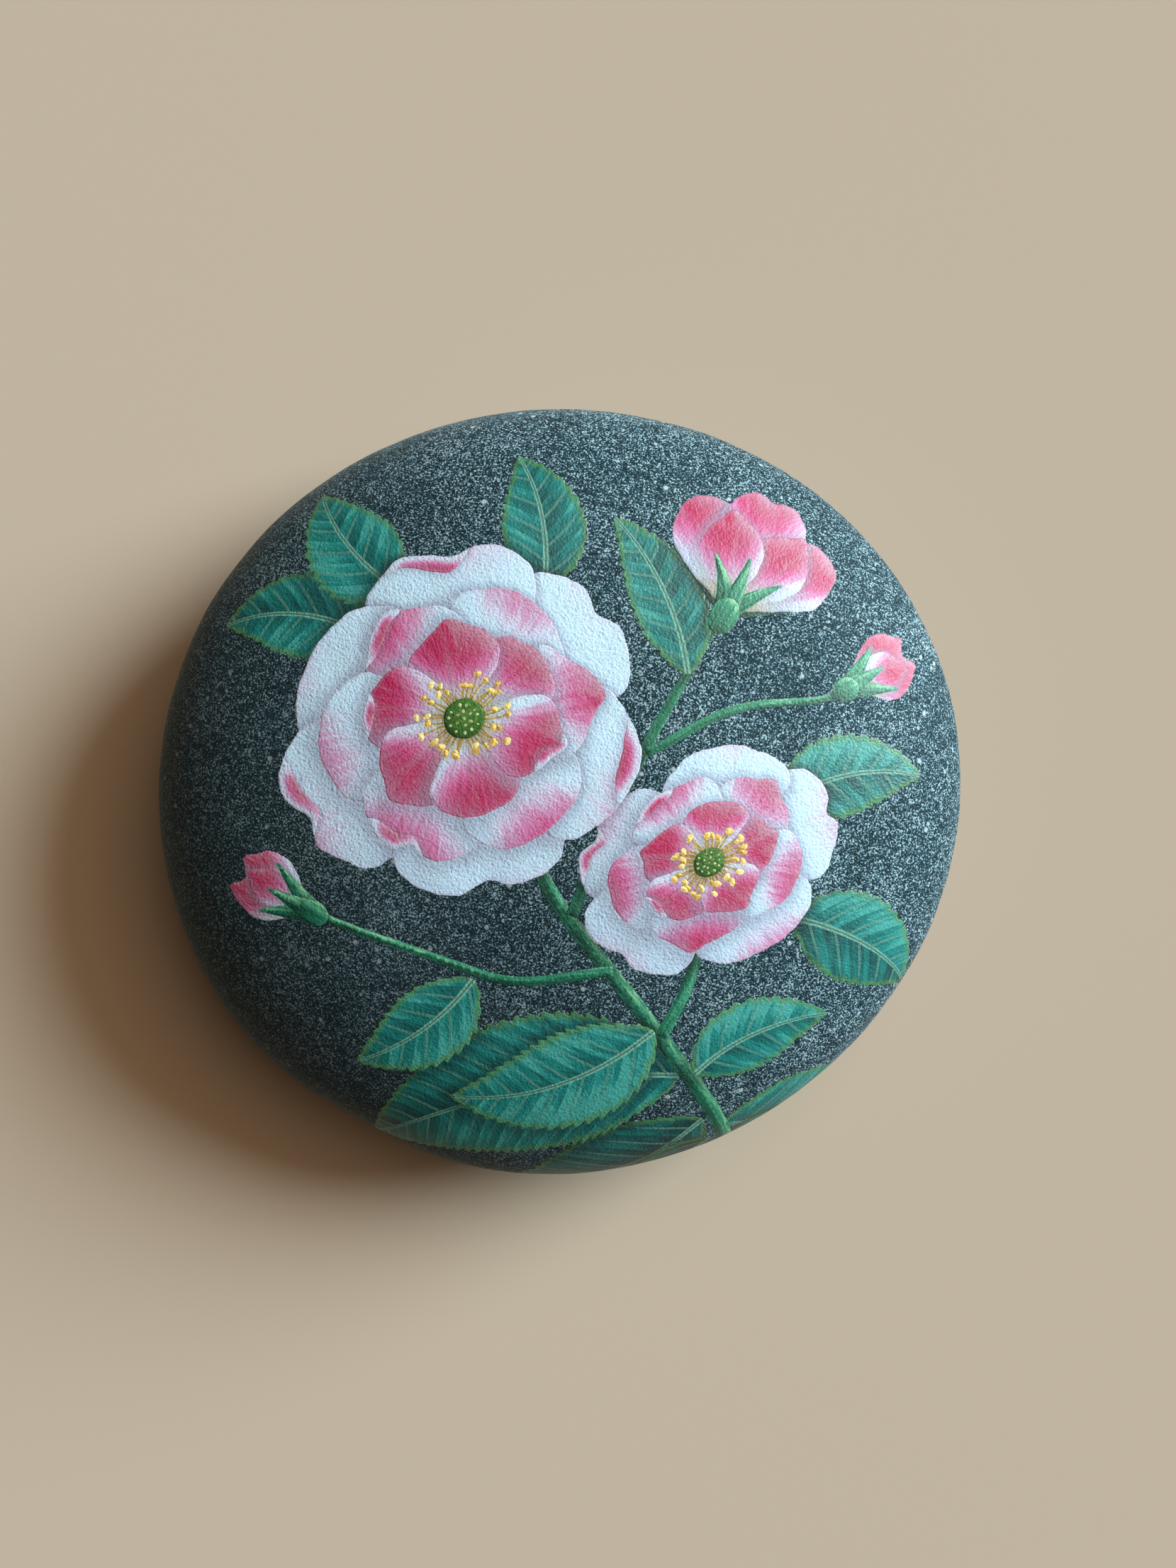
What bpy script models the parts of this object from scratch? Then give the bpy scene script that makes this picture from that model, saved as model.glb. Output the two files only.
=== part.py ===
"""A painted river stone: one flat, round, water-worn pebble, lying with its painted side up.

The stone is a single solid. Seen from above it is a slightly egg-shaped disc with one worn
stretch on its lower left rim. From the side it is a low dome over a flatter underside, which
is worn level where the stone rests. The picture on it is paint, so it has no shape of its own.

Axes: +Z up, +Y towards the top of the picture, +X to its right. The origin is on the resting
face, under the middle of the stone's box.
"""

import math

import bmesh
import bpy
from mathutils import Vector

# Driving sizes, in metres.
MEAN_REACH = 0.0586  # from the middle to the rim, seen from above, averaged all the way round
THICKNESS = 0.034  # from the resting face to the crest
BELT_HEIGHT = 0.0155  # the level where the stone is widest

# The rim seen from above: soft lobes on a circle, as (lobes, swing, bearing of a lobe in degrees).
RIM_LOBES = (
    (2, 0.00144, 10.0),
    (3, 0.00028, 14.0),
)
WORN_DEPTH = 0.0011  # how far the worn stretch of the rim is ground back
WORN_BEARING = math.radians(238.0)
WORN_SPREAD = math.radians(14.0)

# The side view. A bulge of 2 is an ellipse, and a larger one has a flatter middle and a fuller edge.
TOP_BULGE = 2.4
UNDER_BULGE = 2.5
UNDER_OVERRUN = 0.0015  # how far the underside would go below the resting level if it weren't worn
REST_EASE = 0.0006  # height over which the underside eases into the resting face

# A pebble is never quite even: the belt tilts, the crest leans, and long low swells cross both sides.
BELT_TILT = 0.0009
BELT_TILT_BEARING = math.radians(205.0)
CREST_LEAN = 0.0008
CREST_LEAN_BEARING = math.radians(70.0)
# As (height, length of the wave, bearing that it runs along in degrees, shift in degrees).
SWELLS = (
    (0.00034, 0.067, 22.0, 40.0),
    (0.00022, 0.049, 104.0, 150.0),
    (0.00016, 0.037, 158.0, 265.0),
)

ICOSPHERE_DIVISIONS = 5

STONE_COLOUR = (0.075, 0.088, 0.095, 1.0)
STONE_ROUGHNESS = 0.72


def reach(bearing):
    """The stone's reach from its middle to the rim in that bearing, in radians from +X."""
    total = MEAN_REACH
    for lobes, swing, lobe_bearing in RIM_LOBES:
        total += swing * math.cos(lobes * (bearing - math.radians(lobe_bearing)))
    off = math.remainder(bearing - WORN_BEARING, math.tau)
    return total - WORN_DEPTH * math.exp(-((off / WORN_SPREAD) ** 2))


def swell(x, y):
    """Height of the long, low waves at a point seen from above."""
    total = 0.0
    for height, length, bearing, shift in SWELLS:
        way = math.radians(bearing)
        along = x * math.cos(way) + y * math.sin(way)
        total += height * math.sin(math.tau * along / length + math.radians(shift))
    return total


def worn_level(z):
    """z, but never below the resting face at 0, which it joins in a short smooth curve."""
    ease = max(REST_EASE - abs(z), 0.0)
    return max(z, 0.0) + ease * ease / (4 * REST_EASE)


def stone_surface(direction):
    """The point of the pebble's surface that a direction on a unit sphere stands for."""
    bearing = math.atan2(direction.y, direction.x)
    level = max(-1.0, min(1.0, direction.z))
    above = level > 0
    bulge = TOP_BULGE if above else UNDER_BULGE
    rise = THICKNESS - BELT_HEIGHT if above else BELT_HEIGHT + UNDER_OVERRUN
    share = (1 - abs(level) ** bulge) ** (1 / bulge)  # of the way from the middle to the rim
    x = share * reach(bearing) * math.cos(bearing)
    y = share * reach(bearing) * math.sin(bearing)
    z = BELT_HEIGHT + rise * level
    z += BELT_TILT * share * math.cos(bearing - BELT_TILT_BEARING)
    z += abs(level) * swell(x, y)
    if above:
        z += level * CREST_LEAN * share * math.cos(bearing - CREST_LEAN_BEARING)
    return Vector((x, y, worn_level(z)))


def stone_material():
    """Fine-grained dark grey stone, dull and slightly blue."""
    material = bpy.data.materials.new("river_stone")
    material.use_nodes = True
    surface = material.node_tree.nodes["Principled BSDF"]
    surface.inputs["Base Color"].default_value = STONE_COLOUR
    surface.inputs["Roughness"].default_value = STONE_ROUGHNESS
    surface.inputs["Metallic"].default_value = 0.0
    material.diffuse_color = STONE_COLOUR
    return material


def make_stone(collection):
    """The pebble: an icosphere whose points are carried onto the stone's surface."""
    shape = bmesh.new()
    bmesh.ops.create_icosphere(shape, subdivisions=ICOSPHERE_DIVISIONS, radius=1.0)
    for vertex in shape.verts:
        vertex.co = stone_surface(vertex.co.normalized())
    low = Vector(min(v.co[axis] for v in shape.verts) for axis in range(3))
    high = Vector(max(v.co[axis] for v in shape.verts) for axis in range(3))
    middle = (low + high) / 2
    bmesh.ops.translate(shape, verts=shape.verts, vec=Vector((-middle.x, -middle.y, 0.0)))
    mesh = bpy.data.meshes.new("stone")
    shape.to_mesh(mesh)
    shape.free()
    mesh.shade_smooth()
    mesh.materials.append(stone_material())
    stone = bpy.data.objects.new("stone", mesh)
    collection.objects.link(stone)
    return stone


def clear_scene():
    for old in list(bpy.data.objects):
        bpy.data.objects.remove(old)


def main():
    clear_scene()
    collection = bpy.data.collections.new("painted_stone")
    bpy.context.scene.collection.children.link(collection)
    make_stone(collection)


main()
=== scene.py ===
"""The looks of a painted river stone: a flat grey pebble with a spray of roses on its upper side.

The pebble is one mesh. Its upper side is first drawn flat, on a plan in millimetres, as the closed
outlines of petals, leaves, stems and stamens in painting order: a shape covers those before it. The
plan is cut into triangles that keep those outlines as edges, and is then laid over the pebble, so a
leaf can wrap round the rim. Distances on the plan are distances along the stone's surface from its
crest. Each shape carries its own coordinates, so that brush streaks and veins follow it.

The camera looks straight down. Soft daylight comes in low from the upper right of the picture, with
a weak, warm fill from above.
"""

import math
from dataclasses import dataclass
from typing import Callable

import bpy
import numpy as np
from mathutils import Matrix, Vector, kdtree, noise
from mathutils.geometry import delaunay_2d_cdt


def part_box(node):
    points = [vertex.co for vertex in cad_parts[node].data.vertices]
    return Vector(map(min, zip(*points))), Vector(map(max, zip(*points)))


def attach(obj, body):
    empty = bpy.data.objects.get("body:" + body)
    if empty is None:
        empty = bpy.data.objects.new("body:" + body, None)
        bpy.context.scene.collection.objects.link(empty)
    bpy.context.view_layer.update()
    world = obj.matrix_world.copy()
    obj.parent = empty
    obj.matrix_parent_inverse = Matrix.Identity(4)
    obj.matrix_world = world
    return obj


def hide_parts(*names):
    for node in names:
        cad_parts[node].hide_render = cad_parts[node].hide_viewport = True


MM = 0.001

# The pebble's sizes, in metres: the same values as in its solid.
MEAN_REACH = 0.0586
THICKNESS = 0.034
BELT_HEIGHT = 0.0155
RIM_LOBES = (
    (2, 0.00144, 10.0),
    (3, 0.00028, 14.0),
)
WORN_DEPTH = 0.0011
WORN_BEARING = math.radians(238.0)
WORN_SPREAD = math.radians(14.0)
TOP_BULGE = 2.4
UNDER_BULGE = 2.5
UNDER_OVERRUN = 0.0015
REST_EASE = 0.0006
BELT_TILT = 0.0009
BELT_TILT_BEARING = math.radians(205.0)
CREST_LEAN = 0.0008
CREST_LEAN_BEARING = math.radians(70.0)
SWELLS = (
    (0.00034, 0.067, 22.0, 40.0),
    (0.00022, 0.049, 104.0, 150.0),
    (0.00016, 0.037, 158.0, 265.0),
)

# Low unevenness that water leaves on a pebble, as (height, size of a lump) in metres.
UNEVENNESS = (
    (0.00009, 0.0085),
    (0.00005, 0.0036),
    (0.00002, 0.0017),
)

# The mesh, in millimetres on the plan.
PLAN_RADIUS = 79.0  # from the crest to below the rim, where the upper side joins the underside
SEAM_POINTS = 600
FINE_SPACING = 0.52  # under the paint
BARE_SPACING = 0.84  # on bare stone
UNDER_SPACING = 1.15
OUTLINE_SPACING = 0.36
MERGE_DISTANCE = 0.002
OUTLINE_GAP = 0.45 * OUTLINE_SPACING  # that grid points keep from the outlines
ROW_GAP = 0.11  # that the points along a thick stem keep from the outlines
UNEVEN_FROM = 2.0  # height above the resting face at which the unevenness has its full size

# The drawing, in millimetres on the plan.
LEAST_POINTS = 8  # of a closed outline
CURVE_STEPS = 14  # of a smooth curve from one knot to the next
DAB_STEPS = 16  # of a round shape, for each millimetre of its radius
PETAL_SWAY = 0.07  # wander of the brush along an outline
SEED_HEAD_SWAY = 0.06
LEAF_SWAY = 0.03
STEM_SPACING = 0.30  # between the points of a stem's spine
THICK_STEM_SPACING = 0.28  # between those of a thick stem's outline
THICK_STEM = 0.3  # half width from which a stem counts as thick
THICK_STEM_ROWS = (-0.55, 0.0, 0.55)  # shares of the half width where it has points of its own
ROWS_END = 0.4  # half width below which those rows stop
LEAF_SPACING = 0.12  # between the points of a leaf's spine
LEAF_EDGE_SPACING = 0.30
LEAF_FULLEST = 0.42  # share of the way along where a leaf is widest
TOOTH_SPACING = 2.1
TOOTH_DEPTH = 0.07  # as a share of the leaf's half width
SIDE_VEIN_SPACING = 4.3
NO_EDGE = 9.0  # a distance that is as good as no edge at all

SHADE_WAY = np.array([math.cos(math.radians(225.0)), math.sin(math.radians(225.0))])
PAINTS = ("stone", "petal", "leaf", "stem", "gold", "seed")
LAYERS = ("strokes", "shares", "edges", "tones")  # three values each, for the paints to read
# Painted shade: the stone's colour is palest towards the lit side, this way, and darker away from it.
LIT_SIDE_WAY = (0.88, 0.47, 0.0)  # the stone is paler towards this side

# How the flat patterns of both sides lie in the square map that finishes are baked through.
TOP_PLACE = (0.388, 0.612, 0.380)  # middle across, middle up, radius
UNDER_PLACE = (0.812, 0.188, 0.182)

# Counts of points that the pebble's profile and its widest belt are measured by.
PROFILE_POINTS = 12001
BELT_POINTS = (1441, 21)

HAND = np.random.default_rng(20261128)  # the small chances of hand work


# The pebble's surface


def reach(bearing):
    """The pebble's reach from its middle to the rim at each bearing, seen from above."""
    total = np.full_like(bearing, MEAN_REACH)
    for lobes, swing, lobe_bearing in RIM_LOBES:
        total += swing * np.cos(lobes * (bearing - math.radians(lobe_bearing)))
    off = (bearing - WORN_BEARING + math.pi) % math.tau - math.pi
    return total - WORN_DEPTH * np.exp(-((off / WORN_SPREAD) ** 2))


def swell(x, y):
    """Height of the long, low waves that cross the pebble."""
    total = np.zeros_like(x)
    for height, length, bearing, shift in SWELLS:
        way = math.radians(bearing)
        along = x * math.cos(way) + y * math.sin(way)
        total += height * np.sin(math.tau * along / length + math.radians(shift))
    return total


def surface(bearing, level):
    """Points of the pebble. The level is 1 at the crest, 0 where it is widest and -1 below."""
    above = level > 0
    bulge = np.where(above, TOP_BULGE, UNDER_BULGE)
    rise = np.where(above, THICKNESS - BELT_HEIGHT, BELT_HEIGHT + UNDER_OVERRUN)
    share = (1 - np.abs(level) ** bulge) ** (1 / bulge)
    x = share * reach(bearing) * np.cos(bearing)
    y = share * reach(bearing) * np.sin(bearing)
    z = BELT_HEIGHT + rise * level
    z += BELT_TILT * share * np.cos(bearing - BELT_TILT_BEARING)
    z += np.abs(level) * swell(x, y)
    lean = level * CREST_LEAN * share * np.cos(bearing - CREST_LEAN_BEARING)
    z += np.where(above, lean, 0.0)
    ease = np.maximum(REST_EASE - np.abs(z), 0.0)
    z = np.maximum(z, 0.0) + ease * ease / (4 * REST_EASE)
    return np.stack([x, y, z], axis=-1)


def profile():
    """The even pebble's profile: distance along the surface from the crest, and the level there."""
    turn = np.linspace(0.0, math.pi, PROFILE_POINTS)
    level = np.clip(np.cos(turn), -1.0, 1.0)
    above = level > 0
    bulge = np.where(above, TOP_BULGE, UNDER_BULGE)
    rise = np.where(above, THICKNESS - BELT_HEIGHT, BELT_HEIGHT + UNDER_OVERRUN)
    out = MEAN_REACH * (1 - np.abs(level) ** bulge) ** (1 / bulge)
    up = np.maximum(BELT_HEIGHT + rise * level, 0.0)
    way = np.concatenate([[0.0], np.cumsum(np.hypot(np.diff(out), np.diff(up)))])
    return way / MM, level


WAY, LEVEL = profile()


def on_stone(plan):
    """Points of the plan of the upper side, carried onto the pebble."""
    bearing = np.arctan2(plan[:, 1], plan[:, 0])
    level = np.interp(np.hypot(plan[:, 0], plan[:, 1]), WAY, LEVEL)
    return surface(bearing, level)


def under_stone(plan):
    """Points of the plan of the underside, which is measured from the middle of the resting face."""
    bearing = np.arctan2(plan[:, 1], plan[:, 0])
    level = np.interp(WAY[-1] - np.hypot(plan[:, 0], plan[:, 1]), WAY, LEVEL)
    return surface(bearing, level)


def centring(cad_box):
    """The step that brings the pebble's box over the middle of the solid's box."""
    around, up = BELT_POINTS
    bearing, level = np.meshgrid(np.linspace(0, math.tau, around), np.linspace(-0.1, 0.1, up))
    belt = surface(bearing.ravel(), level.ravel())
    middle = (belt.min(0) + belt.max(0)) / 2
    low, high = cad_box
    return np.array([(low.x + high.x) / 2 - middle[0], (low.y + high.y) / 2 - middle[1], 0.0])


def unevenness(points):
    """Height of the water-worn lumps at each point, in metres."""
    heights = np.zeros(len(points))
    for place, point in enumerate(points):
        spot = Vector(point)
        for height, size in UNEVENNESS:
            heights[place] += height * noise.noise(spot / size)
    return heights


# Lines and outlines on the plan


def evenly_spaced(line, spacing, closed):
    """The same line in points that are about that far apart."""
    steps = np.hypot(*np.diff(line, axis=0).T)
    way = np.concatenate([[0.0], np.cumsum(steps)])
    count = max(LEAST_POINTS, round(way[-1] / spacing))
    stops = np.linspace(0.0, way[-1], count + 1)
    if closed:
        stops = stops[:-1]
    return np.stack([np.interp(stops, way, line[:, 0]), np.interp(stops, way, line[:, 1])], axis=1)


def smooth_line(knots, spacing=OUTLINE_SPACING, closed=False):
    """A smooth curve through the knots."""
    knots = np.asarray(knots, float)
    if closed:
        padded = np.vstack([knots[-1], knots, knots[:2]])
    else:
        padded = np.vstack([2 * knots[0] - knots[1], knots, 2 * knots[-1] - knots[-2]])
    t = np.linspace(0.0, 1.0, CURVE_STEPS, endpoint=False)[:, None]
    spans = []
    for before, start, end, after in zip(padded, padded[1:], padded[2:], padded[3:]):
        first = end - before
        second = 2 * before - 5 * start + 4 * end - after
        third = 3 * start - before - 3 * end + after
        spans.append(start + 0.5 * (first * t + second * t**2 + third * t**3))
    spans.append(padded[-2:-1])
    return evenly_spaced(np.vstack(spans), spacing, closed)


def sideways(line, closed=False):
    """The unit step to the left of a line's course at each of its points."""
    if closed:
        course = np.roll(line, -1, axis=0) - np.roll(line, 1, axis=0)
    else:
        course = np.gradient(line, axis=0)
    course /= np.maximum(np.hypot(course[:, 0], course[:, 1]), 1e-9)[:, None]
    return np.stack([-course[:, 1], course[:, 0]], axis=1)


def by_hand(outline, sway):
    """A closed outline with the slight wander of a brush."""
    share = np.arange(len(outline)) / len(outline)
    length = len(outline) * OUTLINE_SPACING
    drift = np.zeros(len(outline))
    for wave, part in ((7.0, 1.0), (3.1, 0.6), (1.5, 0.3)):
        turns = max(1, round(length / wave))
        drift += part * np.sin(math.tau * (turns * share + HAND.random()))
    return outline + sway * drift[:, None] * sideways(outline, closed=True)


def turned(points, angle):
    """Points turned about the origin."""
    cos, sin = math.cos(angle), math.sin(angle)
    return points @ np.array([[cos, sin], [-sin, cos]])


@dataclass
class Placing:
    """Where a flower lies on the plan, and how far it is tipped away from the viewer."""

    x: float
    y: float
    tip_bearing: float = 0.0  # the way that is foreshortened, in degrees
    tip: float = 1.0  # what is left of a length that way

    def spread(self, points, shrink):
        """The points with their distances along the foreshortened way scaled."""
        way = math.radians(self.tip_bearing)
        level = turned(points, -way)
        level = level * np.array([shrink, 1.0])
        return turned(level, way)

    def lay(self, points):
        """Points of the flower, carried onto the plan."""
        return self.spread(points, self.tip) + np.array([self.x, self.y])

    def lift(self, points):
        """Points of the plan, carried back onto the flower."""
        return self.spread(points - np.array([self.x, self.y]), 1 / self.tip)


@dataclass
class Shape:
    """One painted shape: its outline on the plan, its paint, and how its strokes run."""

    outline: np.ndarray
    paint: str
    strokes: Callable  # gives along and across in millimetres, then both as shares, at points
    shade: float = 0.0  # how dark a shadow it throws on the paint under it
    softness: float = 1.6  # width of that shadow and of the soft tones along its own edge
    tint: float = 0.5  # each paint reads this in its own way, such as the depth of a blush
    turn: float = 0.0  # the same, for a second choice
    seed: float = 0.0
    within: np.ndarray = None  # points of its own that the mesh takes in, inside a narrow shape


# Petals

# Half outlines of a petal, its lower part and then its upper part up to the tip, as (share of the
# length, share of the half width).
PETAL_FORMS = {
    "heart": (
        ((0.00, 0.05), (0.16, 0.20), (0.38, 0.62), (0.62, 0.96)),
        ((0.83, 0.97), (0.97, 0.66), (1.01, 0.30), (0.965, 0.0)),
    ),
    "round": (
        ((0.00, 0.06), (0.18, 0.30), (0.40, 0.74), (0.64, 1.00)),
        ((0.84, 0.86), (0.96, 0.48), (1.00, 0.0)),
    ),
    "pointed": (
        ((0.00, 0.06), (0.20, 0.38), (0.42, 0.84), (0.62, 1.00)),
        ((0.81, 0.76), (0.94, 0.34), (1.03, 0.0)),
    ),
}
KNOT_CHANCE = (0.010, 0.035)  # spread of the chance shift of a petal's knots, along and across


def petal_strokes(placing, bearing, length, half_width, bend):
    """Strokes that fan out from the petal's foot to its edge."""

    def strokes(points):
        local = turned(placing.lift(points), -bearing)
        share = np.clip(local[:, 0] / length, 0.0, 1.2)
        across = local[:, 1] - bend * length * share**2
        fan = np.arctan2(across, np.maximum(local[:, 0], 0.08 * length))
        return local[:, 0], fan * 0.62 * length, share, across / half_width

    return strokes


def petal(placing, bearing, length, half_width, form, bend, blush):
    """A petal that grows out of the middle of its flower, at a bearing in degrees."""
    bearing = math.radians(bearing)
    sides = []
    for side in (1.0, -1.0):
        knots = np.vstack(PETAL_FORMS[form])
        knots[1:-1] += HAND.normal(0.0, KNOT_CHANCE, knots[1:-1].shape)
        sides.append(knots * np.array([1.0, side]))
    knots = np.vstack([sides[0], sides[1][::-1][1:]])
    local = smooth_line(knots * np.array([length, half_width]), closed=True)
    local[:, 1] += bend * length * np.clip(local[:, 0] / length, 0.0, 1.2) ** 2
    outline = evenly_spaced(placing.lay(turned(local, bearing)), OUTLINE_SPACING, True)
    return Shape(
        outline=by_hand(outline, PETAL_SWAY),
        paint="petal",
        strokes=petal_strokes(placing, bearing, length, half_width, bend),
        shade=0.75,
        softness=min(1.9, 0.30 * half_width),
        tint=blush,
        seed=HAND.random(),
    )


def lip(under, placing, bearing, length, half_width, bend, side, depth):
    """The rolled edge of a petal near its tip, which shows the deeper colour of its back."""
    bearing = math.radians(bearing)
    local = turned(placing.lift(under.outline), -bearing)
    across = (local[:, 1] - bend * length * (local[:, 0] / length) ** 2) / half_width
    # The roll runs from one corner of the tip to a little past its middle.
    low, high = (-0.25, 0.82) if side > 0 else (-0.82, 0.25)
    near = (local[:, 0] > 0.66 * length) & (across > low) & (across < high)
    edge = local[near]
    edge = edge[np.argsort(across[near])]
    share = np.linspace(0.0, 1.0, len(edge))
    inward = np.array([0.45 * length, 0.0]) - edge
    inward /= np.hypot(inward[:, 0], inward[:, 1])[:, None]
    inner = edge + inward * (depth * np.sin(math.pi * share**0.8) ** 0.8)[:, None]
    outer = edge - inward * (0.35 * np.sin(math.pi * share))[:, None]
    ring = np.vstack([outer, inner[::-1][1:-1], outer[:1]])
    outline = evenly_spaced(placing.lay(turned(ring, bearing)), OUTLINE_SPACING, True)

    def strokes(points):
        spot = turned(placing.lift(points), -bearing)
        gap = spot[:, None] - outer[None]
        off = np.hypot(gap[..., 0], gap[..., 1])
        near_edge = off.argmin(axis=1)
        way = share[near_edge] * length
        return off.min(axis=1), way, off.min(axis=1) / depth, share[near_edge] * 2 - 1

    return Shape(
        outline=outline,
        paint="petal",
        strokes=strokes,
        shade=0.6,
        softness=0.8,
        tint=1.0,
        turn=1.0,
        seed=HAND.random(),
    )


# The middle of a blossom


def round_strokes(middle, radius, bearing=0.0):
    """Strokes that run one way across a round shape, with its shares measured from the middle."""

    def strokes(points):
        local = turned(points - np.asarray(middle), -bearing)
        out = np.hypot(local[:, 0], local[:, 1])
        around = np.arctan2(local[:, 1], local[:, 0])
        return local[:, 0], local[:, 1], out / radius, around / math.pi

    return strokes


def spot(middle, long_radius, short_radius, bearing, paint, shade, tint=0.5, turn=0.0):
    """A dab of paint: a small oval."""
    count = max(LEAST_POINTS, round(long_radius * DAB_STEPS))
    around = np.linspace(0.0, math.tau, count, endpoint=False)
    oval = np.stack([long_radius * np.cos(around), short_radius * np.sin(around)], axis=1)
    outline = turned(oval, bearing) + np.asarray(middle)
    return Shape(
        outline=outline,
        paint=paint,
        strokes=round_strokes(middle, long_radius, bearing),
        shade=shade,
        softness=max(0.45, 0.5 * short_radius),
        tint=tint,
        turn=turn,
        seed=HAND.random(),
    )


def stamens(placing, heart_radius, inner, outer, count):
    """A ring of fine golden threads with a grain of pollen at each end."""
    threads = []
    grains = []
    start = 0.7 * heart_radius
    for place in range(count):
        bearing = math.tau * (place + HAND.uniform(-0.3, 0.3)) / count
        far = HAND.uniform(inner, outer)
        sway = HAND.uniform(-0.22, 0.22)
        steps = np.linspace(0.0, 1.0, 5)
        out = start + (far - start) * steps
        turn = bearing + sway * steps**2
        line = placing.lay(np.stack([out * np.cos(turn), out * np.sin(turn)], axis=1))
        threads.append(stem(line, 0.15, 0.10, paint="gold", shade=0.25, tint=0.15))
        grains.append(
            spot(
                middle=line[-1],
                long_radius=HAND.uniform(0.50, 0.66),
                short_radius=HAND.uniform(0.34, 0.44),
                bearing=HAND.uniform(0.0, math.pi),
                paint="gold",
                shade=0.45,
                tint=HAND.uniform(0.45, 1.0),
            )
        )
    return threads + grains


def heart(placing, radius):
    """The green seed head in the middle, with its pale stigma dots."""
    outline = by_hand(placing.lay(circle(radius, round(radius * DAB_STEPS))), SEED_HEAD_SWAY)
    head = Shape(
        outline=outline,
        paint="seed",
        strokes=round_strokes((placing.x, placing.y), radius),
        shade=0.7,
        softness=0.8,
        seed=HAND.random(),
    )
    dots = []
    for ring_share, count in ((0.0, 1), (0.36, 6), (0.70, 11)):
        for place in range(count):
            bearing = math.tau * (place + HAND.uniform(0.05, 0.45)) / count + ring_share
            out = radius * ring_share * HAND.uniform(0.92, 1.08)
            at = placing.lay(out * np.array([[math.cos(bearing), math.sin(bearing)]]))[0]
            size = radius * HAND.uniform(0.060, 0.100)
            pale = HAND.uniform(0.5, 1.0)
            dots.append(spot(at, size, 0.8 * size, bearing, "seed", 0.25, turn=pale))
    return [head] + dots


# Stems and leaves


def along_spine(spine, half_widths):
    """Strokes that run along a spine, measured to its nearest point."""
    steps = np.hypot(*np.diff(spine, axis=0).T)
    way = np.concatenate([[0.0], np.cumsum(steps)])
    left = sideways(spine)

    def strokes(points):
        gap = points[:, None] - spine[None]
        nearest = (gap**2).sum(axis=2).argmin(axis=1)
        rows = np.arange(len(points))
        off = gap[rows, nearest]
        across = (off * left[nearest]).sum(axis=1)
        ahead = off[:, 0] * left[nearest, 1] - off[:, 1] * left[nearest, 0]
        along = way[nearest] + ahead
        return along, across, along / way[-1], across / np.maximum(half_widths[nearest], 0.05)

    return strokes


def stem(knots, start_half, end_half, paint="stem", shade=0.5, tint=0.5):
    """A stem or thread along a smooth line, tapering from one half width to another."""
    spine = smooth_line(knots, STEM_SPACING)
    halves = start_half + (end_half - start_half) * np.linspace(0.0, 1.0, len(spine))
    out = sideways(spine) * halves[:, None]
    ring = np.vstack([spine + out, (spine - out)[::-1], spine[:1] + out[:1]])
    thick = start_half > THICK_STEM
    rows = np.vstack([spine + out * across for across in THICK_STEM_ROWS])
    wide = np.tile(halves, len(THICK_STEM_ROWS)) > ROWS_END
    return Shape(
        outline=evenly_spaced(ring, THICK_STEM_SPACING if thick else OUTLINE_SPACING, True),
        paint=paint,
        strokes=along_spine(spine, halves),
        shade=shade,
        softness=0.9 if thick else 0.35,
        tint=tint,
        seed=HAND.random(),
        within=rows[wide] if thick else None,
    )


def leaf_halves(share, half_width):
    """Half widths of a leaf from its foot to its pointed tip."""
    power = math.log(0.5) / math.log(LEAF_FULLEST)
    return half_width * np.sin(math.pi * share**power) ** 0.86


def leaf(foot, tip, half_width, bend, fresh):
    """A toothed leaf from its foot to its tip. The bend bows it to the left of its course."""
    foot = np.asarray(foot, float)
    course = np.asarray(tip, float) - foot
    length = math.hypot(*course)
    left = np.array([-course[1], course[0]]) / length
    share = np.linspace(0.0, 1.0, 7)
    bow = 4 * share * (1 - share) * bend * length
    spine = smooth_line(foot + course * share[:, None] + left * bow[:, None], LEAF_SPACING)
    share = np.linspace(0.0, 1.0, len(spine))
    halves = leaf_halves(share, half_width)
    count = length / TOOTH_SPACING
    sides = []
    for side in (1.0, -1.0):
        start = HAND.random()
        bite = (share * count * (1 + 0.25 * share) + start) % 1.0
        edge = halves * (1 + TOOTH_DEPTH * (bite - 0.45))
        edge += 0.35 * np.minimum(1.0, halves) * (bite - 0.4)
        sides.append(spine + side * sideways(spine) * edge[:, None])
    ring = np.vstack([sides[0], sides[1][::-1][1:-1], sides[0][:1]])
    return Shape(
        outline=by_hand(evenly_spaced(ring, LEAF_EDGE_SPACING, True), LEAF_SWAY),
        paint="leaf",
        strokes=along_spine(spine, np.maximum(halves, 0.3)),
        shade=0.7,
        softness=2.0,
        tint=fresh,
        seed=HAND.random(),
    )


# The flowers of the spray


def open_rose(placing, radius, rings, heart_share):
    """A full rose seen from the front: rings of petals round its stamens and seed head."""
    shapes = []
    for ring in rings:
        for bearing, length, width, form, bend, blush, rolled in ring:
            long, half = length * radius, width * radius
            made = petal(placing, bearing, long, half, form, bend, blush)
            shapes.append(made)
            if rolled:
                depth = 0.10 * long
                shapes.append(lip(made, placing, bearing, long, half, bend, rolled, depth))
    heart_radius = heart_share * radius
    shapes += stamens(placing, heart_radius, 1.45 * heart_radius, 2.4 * heart_radius, 36)
    shapes += heart(placing, heart_radius)
    return shapes


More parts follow.
